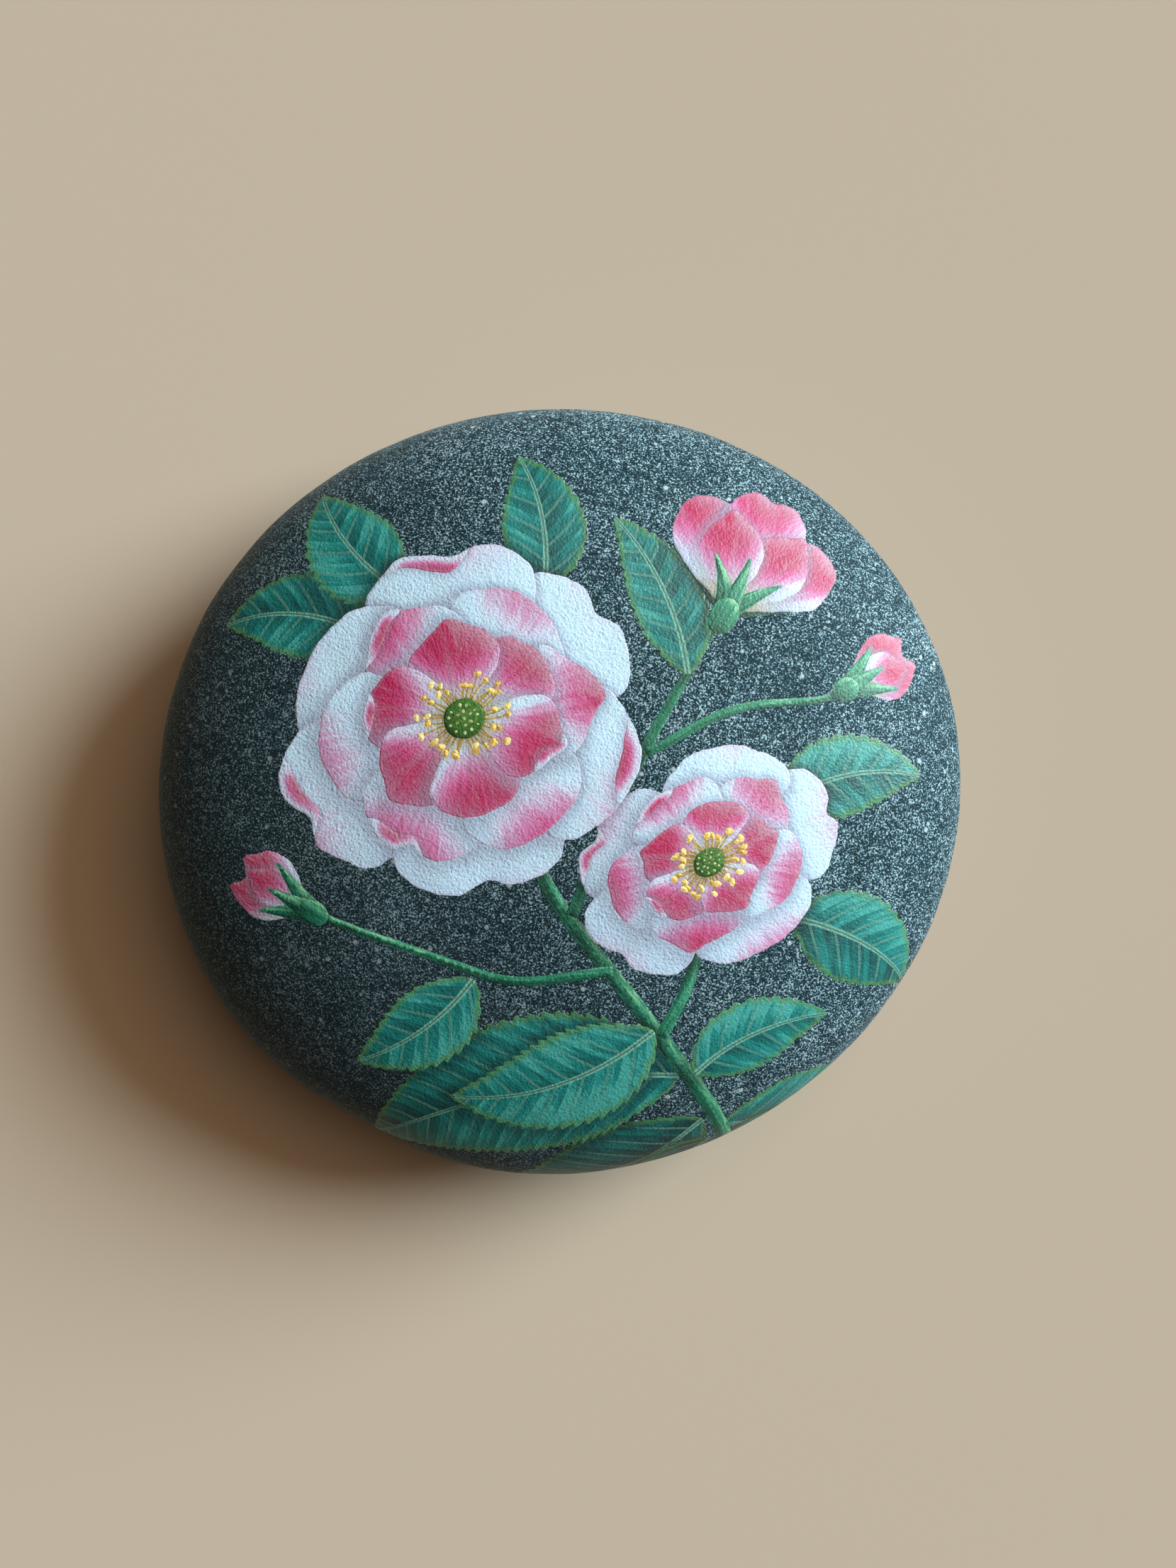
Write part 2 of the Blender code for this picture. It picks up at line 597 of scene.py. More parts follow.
# As (bearing in degrees, length, half width, form, bend, blush, side of a rolled edge), with the
# length and half width as shares of the flower's radius, in painting order.
LARGE_ROSE = (
    (
        (38, 0.98, 0.45, "heart", 0.03, 0.20, 0),
        (99, 1.00, 0.47, "heart", -0.04, 0.26, 1),
        (158, 0.96, 0.46, "round", 0.04, 0.22, 0),
        (214, 1.03, 0.46, "heart", -0.02, 0.30, -1),
        (277, 0.98, 0.46, "heart", 0.03, 0.18, 0),
        (337, 1.00, 0.46, "round", -0.03, 0.30, 1),
    ),
    (
        (66, 0.79, 0.36, "round", 0.04, 0.44, 0),
        (129, 0.76, 0.34, "pointed", -0.04, 0.58, 1),
        (189, 0.81, 0.36, "round", 0.03, 0.40, 0),
        (247, 0.78, 0.35, "heart", 0.05, 0.52, -1),
        (309, 0.80, 0.36, "round", -0.04, 0.46, 0),
        (8, 0.77, 0.34, "pointed", 0.03, 0.60, 0),
    ),
    (
        (40, 0.56, 0.25, "round", 0.04, 0.80, 0),
        (104, 0.58, 0.26, "pointed", -0.05, 0.94, 0),
        (168, 0.55, 0.25, "round", 0.03, 0.84, 1),
        (226, 0.58, 0.26, "pointed", 0.05, 0.98, 0),
        (284, 0.56, 0.25, "round", -0.04, 0.86, 0),
        (344, 0.57, 0.25, "pointed", 0.02, 0.92, -1),
    ),
)
SMALL_ROSE = (
    (
        (20, 1.00, 0.49, "heart", 0.02, 0.30, 0),
        (88, 0.98, 0.48, "round", -0.03, 0.24, 0),
        (162, 0.98, 0.49, "heart", 0.04, 0.34, 1),
        (232, 1.02, 0.50, "heart", -0.02, 0.26, 0),
        (306, 1.00, 0.50, "round", 0.03, 0.38, 0),
    ),
    (
        (54, 0.77, 0.38, "pointed", 0.03, 0.62, 0),
        (126, 0.75, 0.37, "round", -0.03, 0.50, 1),
        (198, 0.79, 0.38, "round", 0.03, 0.56, 0),
        (268, 0.77, 0.38, "pointed", -0.04, 0.66, 0),
        (342, 0.76, 0.37, "round", 0.02, 0.54, 0),
    ),
    (
        (20, 0.54, 0.27, "pointed", 0.03, 0.92, 0),
        (92, 0.52, 0.26, "round", -0.03, 0.84, 0),
        (164, 0.55, 0.27, "pointed", 0.03, 0.96, 0),
        (236, 0.54, 0.27, "round", -0.04, 0.88, -1),
        (308, 0.53, 0.26, "pointed", 0.02, 0.94, 0),
    ),
)


def side_petals(foot, bearing, size, rows):
    """Petals of a flower seen from the side, as (lean, length, half width, form, blush)."""
    return [
        petal(foot, bearing + lean, length * size, width * size, form, 0.0, blush)
        for lean, length, width, form, blush in rows
    ]


def sepal(foot, way, length, half_width, tip_half, shade=0.5, tint=0.6, bow=0.0):
    """A narrow green leaf at a flower's foot. The way that it points is in radians."""
    end = foot + length * np.array([math.cos(way), math.sin(way)])
    return stem([foot, (foot + end) / 2 + bow, end], half_width, tip_half, "stem", shade, tint)


def opening_rose(x, y, size, bearing):
    """A rose that is just opening, seen from the side, with its hip and sepals."""
    foot = np.array([x, y])
    turn = math.radians(bearing)
    shapes = []
    for lean, length in ((62, 0.62), (-60, 0.60), (28, 0.55), (-26, 0.56)):
        way = turn + math.radians(lean)
        shapes.append(sepal(foot, way, length * size, 0.055 * size, 0.012 * size, 0.4, 0.65))
    petals = (
        (-34, 0.92, 0.27, "round", 0.80),
        (36, 0.95, 0.28, "round", 0.76),
        (2, 1.02, 0.30, "heart", 0.70),
        (-19, 0.84, 0.25, "pointed", 0.96),
        (20, 0.80, 0.24, "pointed", 0.90),
    )
    shapes += side_petals(Placing(x, y), bearing, size, petals)
    for lean in (34, -36, 2):
        way = turn + math.radians(lean)
        made = sepal(foot, way, 0.46 * size, 0.085 * size, 0.010 * size, bow=0.02 * size)
        shapes.append(made)
    hip = foot - 0.032 * size * np.array([math.cos(turn), math.sin(turn)])
    shapes.append(spot(hip, 0.15 * size, 0.105 * size, turn, "stem", 0.5, tint=0.55))
    return shapes


def bud(x, y, size, bearing):
    """A closed bud: wrapped petals held by sepals."""
    foot = np.array([x, y])
    turn = math.radians(bearing)
    petals = (
        (-9, 0.96, 0.30, "pointed", 0.90),
        (12, 0.98, 0.27, "pointed", 1.02),
        (-2, 0.84, 0.22, "pointed", 0.84),
    )
    shapes = side_petals(Placing(x, y), bearing, size, petals)
    for lean, length in ((27, 0.62), (-25, 0.66), (2, 0.56)):
        way = turn + math.radians(lean)
        shapes.append(sepal(foot, way, length * size, 0.13 * size, 0.014 * size))
    shapes.append(spot(foot, 0.17 * size, 0.14 * size, turn, "stem", 0.5, tint=0.5))
    return shapes


def spray():
    """All painted shapes in painting order, from the lowest to the topmost."""
    rose = Placing(-13.0, 10.0, tip_bearing=120.0, tip=0.95)
    second = Placing(21.0, -10.0, tip_bearing=305.0, tip=0.84)
    shapes = [
        # Leaves at the lower rim, then those behind the flowers.
        leaf((22, -50), (-14, -71), 10.5, bend=0.08, fresh=0.28),
        leaf((24, -55), (17, -74.0), 7.6, bend=-0.05, fresh=0.20),
        leaf((25, -52), (56, -46), 9.5, bend=-0.10, fresh=0.40),
        leaf((18, -42), (-30, -55), 11.0, bend=-0.09, fresh=0.46),
        leaf((27, -56), (43, -65), 7.0, bend=0.06, fresh=0.24),
        leaf((-27, 22), (-49, 24), 6.4, bend=-0.10, fresh=0.55),
        leaf((-22, 28), (-36, 45), 6.8, bend=0.08, fresh=0.62),
        leaf((-2, 29), (-6, 50), 6.2, bend=-0.08, fresh=0.50),
        leaf((33, -18), (54, -30), 6.8, bend=0.08, fresh=0.52),
        leaf((30, -2), (52, 2), 5.8, bend=0.10, fresh=0.60),
        # The main stem, then its branches.
        stem([(31.5, -70.5), (28.5, -61), (23, -48), (12, -32), (0, -16), (-8, 0)], 1.45, 1.0),
        stem([(15, -36), (19, -27), (21, -14)], 1.0, 0.8),
        stem([(2, -18), (10, 2), (19, 18), (22.5, 24)], 0.95, 0.7),
        stem([(12, 5), (24, 11), (36, 12.5), (40, 14)], 0.75, 0.55),
        stem([(8, -26), (-8, -27), (-24, -21), (-34, -17)], 0.85, 0.6),
    ]
    shapes += [
        # Leaves in front of the stems.
        leaf((-12, -27), (-30, -40), 5.8, bend=0.08, fresh=0.60),
        leaf((14, -35), (-16, -45), 7.4, bend=0.10, fresh=0.68),
        leaf((20, -42), (40, -33), 5.6, bend=0.10, fresh=0.64),
        leaf((18, 16), (8, 40), 5.2, bend=-0.08, fresh=0.60),
    ]
    shapes += bud(40.0, 14.0, 12.5, 28.0)
    shapes += bud(-34.0, -17.0, 13.0, 152.0)
    shapes += opening_rose(23.5, 25.0, 19.5, 62.0)
    shapes += open_rose(second, 18.5, SMALL_ROSE, 0.125)
    shapes += open_rose(rose, 25.5, LARGE_ROSE, 0.115)
    return shapes


# From the plan to the mesh


def within_box(points, outline, margin=0.0):
    """The numbers of the points that lie in the box round an outline."""
    low, high = outline.min(axis=0) - margin, outline.max(axis=0) + margin
    return np.flatnonzero(np.all((points > low) & (points < high), axis=1))


def inside(points, outline):
    """Whether each point lies inside a closed outline: a ray from it crosses an odd number of edges."""
    found = np.zeros(len(points), bool)
    near = within_box(points, outline)
    x, y = points[near, 0][:, None], points[near, 1][:, None]
    ends = np.roll(outline, -1, axis=0)
    rise = ends[:, 1] - outline[:, 1]
    run = (ends[:, 0] - outline[:, 0]) / np.where(rise == 0.0, 1.0, rise)
    crosses = (y > outline[:, 1]) != (y > ends[:, 1])
    left_of = x < outline[:, 0] + (y - outline[:, 1]) * run
    found[near] = (crosses & left_of).sum(axis=1) % 2 == 1
    return found


def grid(radius, spacing):
    """Points of a triangular grid within a circle."""
    rise = spacing * math.sqrt(0.75)
    rows = np.arange(-math.ceil(radius / rise), math.ceil(radius / rise) + 1)
    across = np.arange(-math.ceil(radius / spacing) - 1, math.ceil(radius / spacing) + 1)
    x, row = np.meshgrid(across.astype(float), rows.astype(float))
    x = (x + 0.5 * (row % 2)) * spacing
    points = np.stack([x.ravel(), (row * rise).ravel()], axis=1)
    return points[np.hypot(points[:, 0], points[:, 1]) < radius]


def circle(radius, count):
    """Points evenly round a circle."""
    around = math.tau * np.arange(count) / count
    return radius * np.stack([np.cos(around), np.sin(around)], axis=1)


def clear_of(points, others, gap):
    """The points that are at least that far from all the others."""
    tree = kdtree.KDTree(len(others))
    for place, other in enumerate(others):
        tree.insert((other[0], other[1], 0.0), place)
    tree.balance()
    keep = [tree.find((x, y, 0.0))[2] > gap for x, y in points]
    return points[np.array(keep)]


def plan_points(shapes):
    """Grid points of the upper side: close together under paint, wider on bare stone."""
    fine = grid(PLAN_RADIUS - FINE_SPACING, FINE_SPACING)
    bare = grid(PLAN_RADIUS - BARE_SPACING, BARE_SPACING)
    under_paint = np.zeros(len(fine), bool)
    bare_covered = np.zeros(len(bare), bool)
    for shape in shapes:
        under_paint |= inside(fine, shape.outline)
        bare_covered |= inside(bare, shape.outline)
    points = np.vstack([fine[under_paint], bare[~bare_covered]])
    outlines = np.vstack([shape.outline for shape in shapes])
    within = np.vstack([shape.within for shape in shapes if shape.within is not None])
    within = clear_of(within, outlines, ROW_GAP)
    points = clear_of(points, np.vstack([outlines, within]), OUTLINE_GAP)
    return np.vstack([within, points])


def anticlockwise(outline):
    """The outline in the order that keeps its inside on the left."""
    ends = np.roll(outline, -1, axis=0)
    turns = (outline[:, 0] * ends[:, 1] - outline[:, 1] * ends[:, 0]).sum()
    return outline if turns > 0 else outline[::-1]


def triangulate(points, outlines):
    """Triangles of a plan. Gives its points, triangles, the last outline around each triangle, and
    where each point of the first outline went."""
    corners = [Vector(point) for point in points]
    faces = []
    for outline in map(anticlockwise, outlines):
        faces.append(list(range(len(corners), len(corners) + len(outline))))
        corners += [Vector(point) for point in outline]
    found = delaunay_2d_cdt(corners, [], faces, 1, MERGE_DISTANCE)
    places = np.array(found[0])
    triangles = np.array(found[2])
    owners = np.array([max(origin) for origin in found[5]])
    went_to = {old: new for new, olds in enumerate(found[3]) for old in olds}
    ring = np.array([went_to[old] for old in faces[0]])
    return places, triangles, owners, ring


def steps_from(points, starts, ends):
    """The step to each point from the nearest place on each of the straight stretches."""
    spans = ends - starts
    away = points[:, None] - starts[None]
    share = (away * spans).sum(axis=2) / np.maximum((spans**2).sum(axis=1), 1e-12)
    return away - np.clip(share, 0.0, 1.0)[..., None] * spans


def gap_to(points, outline):
    """Distance from each point to the nearest place on an outline, and the step from there."""
    away = steps_from(points, outline, np.roll(outline, -1, axis=0))
    distance = np.hypot(away[..., 0], away[..., 1])
    nearest = distance.argmin(axis=1)
    rows = np.arange(len(points))
    return distance[rows, nearest], away[rows, nearest]


def facing_shade(gap, step):
    """How far a step points to the shaded side, from -1 to 1."""
    return (step @ SHADE_WAY) / np.maximum(gap, 0.01)


def painted_shade(points, over):
    """The soft shadow that the shapes over a shape throw on it, from 0 to 1."""
    light = np.ones(len(points))
    for shape in over:
        near = within_box(points, shape.outline, 3 * shape.softness)
        if shape.shade == 0.0 or not len(near):
            continue
        gap, step = gap_to(points[near], shape.outline)
        width = shape.softness * (0.75 + 0.45 * facing_shade(gap, step))
        light[near] *= 1 - shape.shade * np.exp(-((gap / width) ** 2))
    return 1 - light


def bare_gap(shape, points, lower):
    """Distance from each point to the stretches of a shape's outline that border on bare stone."""
    outline = shape.outline
    covered = np.zeros(len(outline), bool)
    for under in lower:
        covered |= inside(outline, under.outline)
    gap = np.full(len(points), NO_EDGE)
    ends = np.roll(outline, -1, axis=0)
    bare = ~(covered | np.roll(covered, -1))
    # The stretches are taken in a few goes, which needs less memory.
    for part in np.array_split(np.flatnonzero(bare), 8):
        if len(part):
            away = steps_from(points, outline[part], ends[part])
            gap = np.minimum(gap, np.hypot(away[..., 0], away[..., 1]).min(axis=1))
    return gap


def shape_values(shape, points, lower, over):
    """What the paints read at points of one shape, as one row of values for each layer."""
    along, across, along_share, across_share = shape.strokes(points)
    rim, step = gap_to(points, shape.outline)
    roundness = -facing_shade(rim, step) * np.exp(-rim / shape.softness)
    same = np.ones(len(points))
    rows = {
        "strokes": (along, across, shape.seed * same),
        "shares": (along_share, across_share, painted_shade(points, over)),
        "edges": (rim, bare_gap(shape, points, lower), roundness),
        "tones": (shape.tint * same, shape.turn * same, 0 * same),
    }
    return {name: np.stack(values, axis=1) for name, values in rows.items()}


def corner_values(places, triangles, owners, shapes):
    """What the paints read at each corner of each triangle, for each layer."""
    layers = {name: np.zeros((len(triangles), 3, 3), np.float32) for name in LAYERS}
    for number, shape in enumerate(shapes):
        mine = np.flatnonzero(owners == number + 1)
        if not len(mine):
            continue
        used, which = np.unique(triangles[mine], return_inverse=True)
        values = shape_values(shape, places[used], shapes[:number], shapes[number + 1 :])
        for name, rows in values.items():
            layers[name][mine] = rows[which.reshape(-1, 3)]
    return layers


@dataclass
class Side:
    """One side of the pebble, as triangles on its own plan."""

    plan: np.ndarray
    faces: np.ndarray
    rim: np.ndarray  # the numbers of the points round its edge
    radius: float
    place: tuple  # where its plan lies in the square map


def make_sides(shapes):
    """Both sides of the pebble, and the number of the shape on each triangle of the upper one."""
    outlines = [circle(PLAN_RADIUS, SEAM_POINTS)] + [shape.outline for shape in shapes]
    plan, faces, owners, rim = triangulate(plan_points(shapes), outlines)
    top = Side(plan, faces, rim, PLAN_RADIUS, TOP_PLACE)
    radius = WAY[-1] - PLAN_RADIUS
    points = grid(radius - 0.6 * UNDER_SPACING, UNDER_SPACING)
    plan, faces, _, rim = triangulate(points, [circle(radius, SEAM_POINTS)])
    under = Side(plan, faces[:, ::-1], rim, radius, UNDER_PLACE)
    return top, under, owners


def add_unevenness(mesh, points):
    """Moves the points in and out by the water-worn lumps, less and less near the resting face."""
    normals = np.empty(len(points) * 3, np.float32)
    mesh.vertices.foreach_get("normal", normals)
    height = unevenness(points) * np.clip(points[:, 2] / (UNEVEN_FROM * MM), 0.0, 1.0)
    points = points + normals.reshape(-1, 3) * height[:, None]
    mesh.vertices.foreach_set("co", points.astype(np.float32).ravel())


def join_sides(top, under, cad_box):
    """Both sides as one closed mesh, in which the underside's rim points are the upper side's."""
    joined = np.arange(len(under.plan)) + len(top.plan)
    joined[under.rim] = top.rim
    faces = np.vstack([top.faces, joined[under.faces]])
    points = np.vstack([on_stone(top.plan), under_stone(under.plan)])
    used, faces = np.unique(faces, return_inverse=True)
    points = points[used] + centring(cad_box)
    mesh = bpy.data.meshes.new("painted_pebble")
    mesh.from_pydata(points.tolist(), [], faces.reshape(-1, 3).tolist())
    add_unevenness(mesh, points)
    mesh.shade_smooth()
    return mesh


def lay_values(mesh, values):
    """Puts what the paints read on the mesh, whose last triangles are the bare underside's."""
    for name, corners in values.items():
        whole = np.zeros((len(mesh.loops), 3), np.float32)
        whole[: 3 * len(corners)] = corners.reshape(-1, 3)
        layer = mesh.attributes.new(name, "FLOAT_VECTOR", "CORNER")
        layer.data.foreach_set("vector", whole.ravel())


def lay_paints(mesh, shapes, owners, materials):
    """Gives each triangle the paint of its shape."""
    numbers = np.array([0] + [PAINTS.index(shape.paint) for shape in shapes])
    slots = np.zeros(len(mesh.polygons), np.int32)
    slots[: len(owners)] = numbers[owners]
    for name in PAINTS:
        mesh.materials.append(materials[name])
    mesh.polygons.foreach_set("material_index", slots)


def lay_map(mesh, sides):
    """Lays the plans of the sides out in the square map that finishes are baked through."""
    corners = []
    for side in sides:
        middle_across, middle_up, radius = side.place
        spots = side.plan / side.radius * radius + np.array([middle_across, middle_up])
        corners.append(spots[side.faces].reshape(-1, 2))
    bake_map = mesh.uv_layers.new(name="OFBake")
    bake_map.data.foreach_set("uv", np.vstack(corners).astype(np.float32).ravel())


def make_pebble(shapes, materials, cad_box):
    """The whole pebble as one closed mesh, with the painted shapes as areas of its upper side."""
    top, under, owners = make_sides(shapes)
    mesh = join_sides(top, under, cad_box)
    lay_values(mesh, corner_values(top.plan, top.faces, owners, shapes))
    lay_paints(mesh, shapes, owners, materials)
    lay_map(mesh, (top, under))
    mesh.update()
    pebble = bpy.data.objects.new("painted_pebble", mesh)
    bpy.context.scene.collection.objects.link(pebble)
    return pebble


# Building shader nodes

NUMBER, COLOUR = "NodeSocketFloat", "NodeSocketColor"


def socket_named(sockets, name):
    """The socket of that name which the node's settings leave in use."""
    return next(one for one in sockets if one.name == name and one.enabled)


class Maker:
    """Adds nodes to one node tree. Most steps give the socket that holds their result."""

    def __init__(self, tree):
        self.tree = tree

    def feed(self, target, value):
        """Links a socket to an input, or sets any other value there."""
        if isinstance(value, bpy.types.NodeSocket):
            self.tree.links.new(value, target)
        elif target.type == "RGBA":
            target.default_value = (*value, 1.0)
        else:
            target.default_value = value

    def node(self, kind, inputs, **settings):
        """A new node, with inputs given by their name or number."""
        made = self.tree.nodes.new(kind)
        for name, value in settings.items():
            setattr(made, name, value)
        for name, value in inputs.items():
            target = made.inputs[name] if isinstance(name, int) else socket_named(made.inputs, name)
            self.feed(target, value)
        return made

    def calc(self, operation, *values):
        """The result of one sum."""
        inputs = dict(enumerate(values))
        return self.node("ShaderNodeMath", inputs, operation=operation).outputs[0]

    def times(self, first, *others):
        for other in others:
            first = self.calc("MULTIPLY", first, other)
        return first

    def plus(self, first, *others):
        for other in others:
            first = self.calc("ADD", first, other)
        return first

    def minus(self, first, second):
        return self.calc("SUBTRACT", first, second)

    def size(self, value):
        """The value without its sign."""
        return self.calc("ABSOLUTE", value)

    def add_part(self, base, value, part):
        """The base, with the value times the part added."""
        return self.calc("MULTIPLY_ADD", value, part, base)

    def centred(self, value, part):
        """A value from 0 to 1, moved to lie about 0 and scaled."""
        return self.times(self.minus(value, 0.5), part)

    def ramp(self, value, low, high, to_low=0.0, to_high=1.0):
        """A smooth rise from one value to another as the input goes from low to high."""
        inputs = {
            "Value": value,
            "From Min": low,
            "From Max": high,
            "To Min": to_low,
            "To Max": to_high,
        }
        made = self.node("ShaderNodeMapRange", inputs, interpolation_type="SMOOTHSTEP")
        return made.outputs["Result"]

    def mix(self, share, first, second, blend="MIX"):
        """Two colours mixed by a share from 0 to 1."""
        made = self.node(
            "ShaderNodeMix", {}, data_type="RGBA", blend_type=blend, clamp_factor=True
        )
        for name, value in (("Factor", share), ("A", first), ("B", second)):
            self.feed(socket_named(made.inputs, name), value)
        return socket_named(made.outputs, "Result")

    def colours(self, value, *stops):
        """A row of colours along a value, as (place, colour)."""
        made = self.node("ShaderNodeValToRGB", {"Fac": value})
        row = made.color_ramp
        while len(row.elements) < len(stops):
            row.elements.new(0.5)
        for element, (place, colour) in zip(row.elements, stops):
            element.position = place
            element.color = (*colour, 1.0)
        return made.outputs["Color"]

    def noise(self, at, scale, detail=2.0, roughness=0.5):
        """Smooth noise about 0.5."""
        inputs = {"Vector": at, "Scale": scale, "Detail": detail, "Roughness": roughness}
        return self.node("ShaderNodeTexNoise", inputs).outputs["Fac"]

    def cells(self, at, scale):
        """Cells strewn about: a chance for each of them, and the distance from its middle."""
        made = self.node("ShaderNodeTexVoronoi", {"Vector": at, "Scale": scale})
        chance = self.node("ShaderNodeSeparateColor", {0: made.outputs["Color"]}).outputs[0]
        return chance, made.outputs["Distance"]

    def bump(self, strength, distance, height):
        inputs = {"Strength": strength, "Distance": distance, "Height": height}
        return self.node("ShaderNodeBump", inputs).outputs[0]

    def place(self):
        """The point on the stone, in metres."""
        return self.tree.nodes.new("ShaderNodeTexCoord").outputs["Object"]

    def read(self, name):
        """The three values of one of the mesh's own layers."""
        settings = {"attribute_name": name, "attribute_type": "GEOMETRY"}
        layer = self.node("ShaderNodeAttribute", {}, **settings)
        return self.node("ShaderNodeSeparateXYZ", {0: layer.outputs["Vector"]}).outputs

    def use(self, group, **inputs):
        """The outputs of a node group that is placed here with its own values."""
        made = self.tree.nodes.new("ShaderNodeGroup")
        made.node_tree = group
        for name, value in inputs.items():
            self.feed(made.inputs[name.replace("_", " ")], value)
        return made.outputs


def new_group(name, inputs, outputs):
    """An empty node group: its maker, and the sockets at its two ends."""
    group = bpy.data.node_groups.new(name, "ShaderNodeTree")
    for socket, value in inputs.items():
        made = group.interface.new_socket(socket, in_out="INPUT", socket_type=NUMBER)
        made.default_value = value
    for socket, kind in outputs.items():
        group.interface.new_socket(socket, in_out="OUTPUT", socket_type=kind)
    ends = group.nodes.new("NodeGroupInput").outputs
    return Maker(group), ends, group.nodes.new("NodeGroupOutput").inputs


def new_material(name):
    """A new material, a maker for its nodes, and the inputs of its shader."""
    material = bpy.data.materials.new(name)
    material.use_nodes = True
    tree = material.node_tree
    return material, Maker(tree), tree.nodes["Principled BSDF"].inputs


# Finishes


def stone_group():
    """Fine-grained grey rock: dark and pale grains side by side, a few bright crystals, and painted
    shade.
    """
    make, _, out = new_group("Stone grain and painted shade", {}, {"Colour": COLOUR, "Height": NUMBER})
    place = make.place()
    askew = {"Vector": place, "Rotation": (0.5, 0.7, 0.3)}
    at = make.node("ShaderNodeVectorRotate", askew, rotation_type="EULER_XYZ").outputs[0]
    fine = make.noise(at, 3700.0, 1.0, 0.6)
    clumps = make.noise(at, 1000.0, 1.0)
    broad = make.noise(at, 100.0)
    grain = make.plus(fine, make.centred(clumps, 0.26), make.centred(broad, 0.12))
    colour = make.colours(
        make.ramp(grain, 0.33, 0.72),
        (0.0, (0.0012, 0.0108, 0.0175)),
        (0.40, (0.0132, 0.0410, 0.0590)),
        (0.70, (0.0770, 0.1600, 0.2080)),
        (1.0, (0.3600, 0.5200, 0.5900)),
    )
    # Some grains are browner, and a few are clean, bright crystals, most of them in clusters.
    brown = make.ramp(make.noise(at, 1700.0, 1.0), 0.48, 0.66)
    colour = make.mix(make.times(brown, 0.55), colour, (1.0, 0.84, 0.70), "MULTIPLY")
    chance, off = make.cells(at, 2300.0)
    cluster = make.ramp(make.noise(at, 130.0), 0.60, 0.72)
    crystal = make.calc("GREATER_THAN", chance, make.add_part(0.985, cluster, -0.22))
    crystal = make.times(crystal, make.ramp(off, 0.55, 0.25))
    colour = make.mix(make.times(crystal, 0.75), colour, (0.45, 0.57, 0.62))
    # Here and there lies a pale fleck, about half a millimetre wide.
    chance, off = make.cells(at, 340.0)
    off = make.plus(make.centred(fine, 0.12), off)
    fleck = make.times(make.calc("GREATER_THAN", chance, 0.72), make.ramp(off, 0.15, 0.08))
    colour = make.mix(make.times(fleck, 0.80), colour, (0.50, 0.62, 0.66))
    # Painted shade: the whole stone's colour darkens away from the side that the light falls on.
    towards = make.node("ShaderNodeVectorMath", {0: place, 1: LIT_SIDE_WAY}, operation="DOT_PRODUCT")
    dark = make.ramp(towards.outputs["Value"], -0.052, 0.030, 0.68, 0.0)
    make.feed(out["Colour"], make.mix(dark, colour, (0.004, 0.006, 0.006)))
    make.feed(out["Height"], make.add_part(fine, make.noise(at, 1900.0), 0.8))
    return make.tree


def film_group():
    """A brushed film on rough stone: its cover, which breaks up at the edge, and its own skin."""
    make, ends, out = new_group(
        "Paint film",
        {"Rim": 1.0, "Bare rim": 1.0, "Ragged": 0.3},
        {"Cover": NUMBER, "Height": NUMBER, "Pit": NUMBER},
    )
    at = make.place()
    tooth = make.noise(at, 3400.0, 2.0, 0.6)
    edge = make.times(ends["Ragged"], make.minus(tooth, 0.36))
    lumps = make.noise(at, 2700.0, 1.5)
    body = make.add_part(lumps, make.ramp(ends["Rim"], 0.0, 0.25), 0.35)
    body = make.add_part(body, make.noise(at, 1500.0, 1.0), 0.55)
    make.feed(out["Cover"], make.ramp(make.add_part(ends["Bare rim"], edge, -2.4), 0.0, 0.08))
    make.feed(out["Height"], body)
    make.feed(out["Pit"], make.ramp(lumps, 0.40, 0.30))
    return make.tree


def streak_group():
    """Brush streaks: noise drawn out along the strokes, coarse and fine, from 0 to 1."""
    make, ends, out = new_group(
        "Brush streaks",
        {"Along": 0.0, "Across": 0.0, "Seed": 0.0, "Width": 0.5, "Length": 7.0},
        {"Streak": NUMBER, "Fine": NUMBER},
    )
    along = make.calc("DIVIDE", ends["Along"], ends["Length"])
    across = make.calc("DIVIDE", ends["Across"], ends["Width"])
    seed = make.times(ends["Seed"], 37.0)
    at = make.node("ShaderNodeCombineXYZ", {0: along, 1: across, 2: seed}).outputs[0]
    make.feed(out["Streak"], make.ramp(make.noise(at, 0.8, 2.0, 0.6), 0.30, 0.70))
    make.feed(out["Fine"], make.ramp(make.noise(at, 2.6, 2.0, 0.6), 0.32, 0.68))
    return make.tree


def bare_stone(groups):
    """Dull, dry river stone."""
    material, make, shader = new_material("river_stone")
    rock = make.use(groups["stone"])
    make.feed(shader["Base Color"], rock["Colour"])
    make.feed(shader["Normal"], make.bump(0.8, 0.00011, rock["Height"]))
    make.feed(shader["Roughness"], 0.66)
    make.feed(shader["Specular IOR Level"], 0.27)
    make.feed(shader["Specular Tint"], (0.62, 0.90, 1.0))
    make.feed(shader["Sheen Weight"], 0.10)
    make.feed(shader["Sheen Roughness"], 0.45)
    make.feed(shader["Sheen Tint"], (0.70, 0.90, 1.0))
    return material


